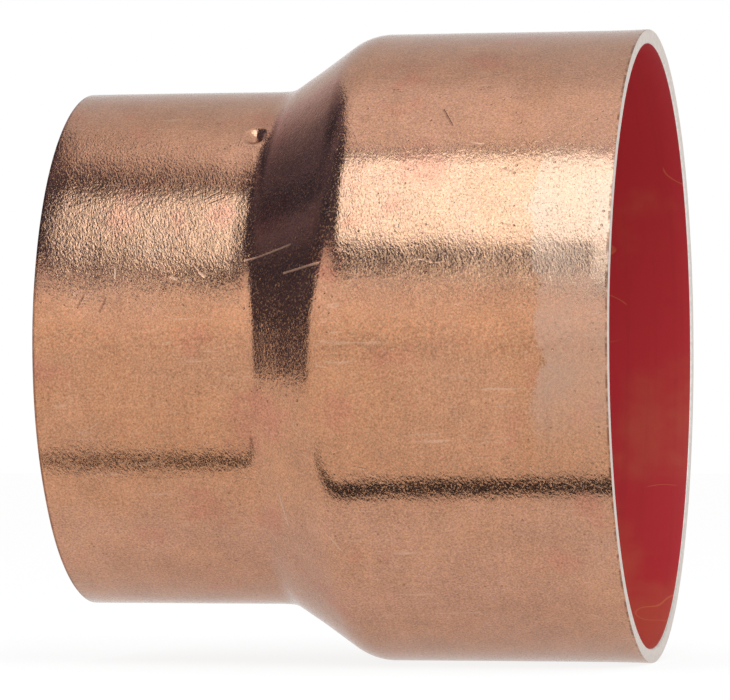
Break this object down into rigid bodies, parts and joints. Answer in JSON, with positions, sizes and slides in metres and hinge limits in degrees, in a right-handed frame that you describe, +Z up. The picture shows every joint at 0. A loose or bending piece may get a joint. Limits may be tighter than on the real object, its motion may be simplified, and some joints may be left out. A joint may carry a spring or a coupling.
{
  "type": "concentric reducer",
  "caption": "Copper solder fitting that joins a large tube to a smaller one on the same axis: two plain sockets with a short cone between them and staked tube stops in the small one.",
  "frame": {"origin": "centre of the large socket's mouth, on the common axis", "axes": "X is the common axis of both sockets, +X out of the large socket and -X out of the small one; the fitting lies on its side and +Z is up"},
  "size_m": [0.1026, 0.1134, 0.1134],
  "materials": {
    "copper": "satin drawn copper, lightly tarnished, darker red inside"
  },
  "bodies": {
    "root": {"reducer_body": "copper"}
  },
  "joints": []
}
